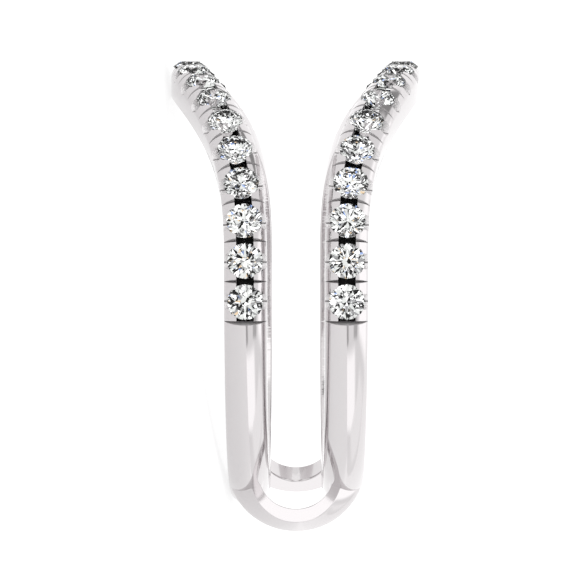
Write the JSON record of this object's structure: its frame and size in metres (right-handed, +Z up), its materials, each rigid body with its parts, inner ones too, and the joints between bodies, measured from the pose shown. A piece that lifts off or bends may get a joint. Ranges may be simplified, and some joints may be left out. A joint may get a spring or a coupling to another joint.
{
  "type": "ring guard enhancer",
  "caption": "Polished white metal ring guard: two stone-set bands that part at the crest round a centre ring's head, joined at the bottom by two bowed bridges.",
  "frame": {"origin": "middle of the base, on the surface that the ring lies on", "axes": "+Z up; +Y across the ring from its pictured edge to the far edge; -X towards the stone-set crest, +X towards the bridges"},
  "size_m": [0.0216, 0.0206, 0.0116],
  "materials": {
    "polished_white_metal": "high polish",
    "clear_stone": "brilliant cut, polished facets"
  },
  "bodies": {
    "root": {"ring_mount": "polished_white_metal", "stone_left_01": "clear_stone", "stone_left_02": "clear_stone", "stone_left_03": "clear_stone", "stone_left_04": "clear_stone", "stone_left_05": "clear_stone", "stone_left_06": "clear_stone", "stone_left_07": "clear_stone", "stone_left_08": "clear_stone", "stone_left_09": "clear_stone", "stone_left_10": "clear_stone", "stone_left_11": "clear_stone", "stone_left_12": "clear_stone", "stone_left_13": "clear_stone", "stone_left_14": "clear_stone", "stone_left_15": "clear_stone", "stone_left_16": "clear_stone", "stone_left_17": "clear_stone", "stone_left_18": "clear_stone", "stone_left_19": "clear_stone", "stone_left_20": "clear_stone", "stone_right_01": "clear_stone", "stone_right_02": "clear_stone", "stone_right_03": "clear_stone", "stone_right_04": "clear_stone", "stone_right_05": "clear_stone", "stone_right_06": "clear_stone", "stone_right_07": "clear_stone", "stone_right_08": "clear_stone", "stone_right_09": "clear_stone", "stone_right_10": "clear_stone", "stone_right_11": "clear_stone", "stone_right_12": "clear_stone", "stone_right_13": "clear_stone", "stone_right_14": "clear_stone", "stone_right_15": "clear_stone", "stone_right_16": "clear_stone", "stone_right_17": "clear_stone", "stone_right_18": "clear_stone", "stone_right_19": "clear_stone", "stone_right_20": "clear_stone"}
  },
  "joints": []
}
